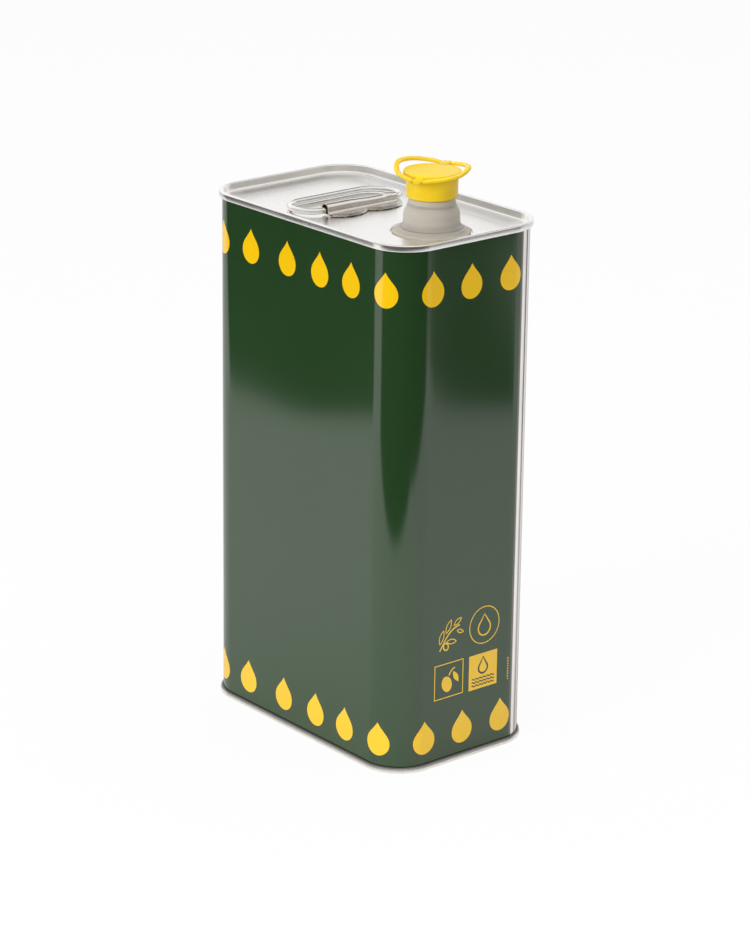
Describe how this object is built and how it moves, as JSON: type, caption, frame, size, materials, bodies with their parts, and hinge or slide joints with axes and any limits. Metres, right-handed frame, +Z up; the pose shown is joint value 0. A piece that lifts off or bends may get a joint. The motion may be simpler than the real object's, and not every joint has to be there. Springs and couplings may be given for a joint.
{
  "type": "oil tin with pull-out spout",
  "caption": "Rounded rectangular tin with double-seamed ends, a folding wire handle on top and a pull-out plastic spout with a screw cap and pull loops.",
  "frame": {"origin": "centre of the tin's footprint, on the surface that it stands on", "axes": "+Z up, +X along the long side towards the spout, -Y out of the wide front face"},
  "size_m": [0.1734, 0.1074, 0.3364],
  "materials": {
    "lacquered_tinplate": "gloss dark green lacquer with a row of yellow drops near each end",
    "bright_tinplate": "bright tinplate",
    "sealing_compound": "matt",
    "milky_plastic": "translucent soft polyethylene, satin",
    "white_foam": "closed-cell foam",
    "yellow_plastic": "satin yellow polyethylene",
    "tinned_wire": "bright tinned wire",
    "bracket_tinplate": "rolled tinplate"
  },
  "bodies": {
    "tin": {"body_shell": "lacquered_tinplate", "top_end": "bright_tinplate", "bottom_end": "bright_tinplate", "top_seam_compound": "sealing_compound", "bottom_seam_compound": "sealing_compound", "handle_bracket": "bracket_tinplate", "bracket_spot_welds": "bracket_tinplate", "spout_flange": "milky_plastic", "spout_sleeve": "milky_plastic"},
    "handle": {"handle_bail": "tinned_wire"},
    "spout": {"spout_neck": "milky_plastic"},
    "liner": {"cap_liner": "white_foam"},
    "cap": {"cap_shell": "yellow_plastic"},
    "left_pull": {"cap_pull_left": "yellow_plastic"},
    "right_pull": {"cap_pull_right": "yellow_plastic"}
  },
  "joints": [
    {"name": "handle_hinge", "type": "hinge", "parent": "tin", "child": "handle", "pos_m": [-0.012, 0, 0.30128], "axis": [0, 1, 0], "range_deg": [0, 183.31]},
    {"name": "spout_slide", "type": "slide", "parent": "tin", "child": "spout", "axis": [0, 0, 1], "range_m": [-0.026, 0], "deforming": ["spout_sleeve"]},
    {"name": "cap_lift", "type": "slide", "parent": "spout", "child": "liner", "axis": [0, 0, 1], "range_m": [0, 0.01205]},
    {"name": "cap_turn", "type": "hinge", "parent": "liner", "child": "cap", "pos_m": [0.0491, 0, 0.3175], "axis": [0, 0, 1], "range_deg": [0, 1080]},
    {"name": "left_pull_hinge", "type": "hinge", "parent": "cap", "child": "left_pull", "pos_m": [0.04608, -0.00144, 0.333], "axis": [-0.4305, 0.9026, 0], "range_deg": [-11.5, 78.5]},
    {"name": "right_pull_hinge", "type": "hinge", "parent": "cap", "child": "right_pull", "pos_m": [0.05212, 0.00144, 0.333], "axis": [0.4305, -0.9026, 0], "range_deg": [-7.1, 82.9]}
  ],
  "couplings": [
    {"joint": "cap_lift", "follows": "cap_turn", "m_per_rad": 0.00063662}
  ]
}
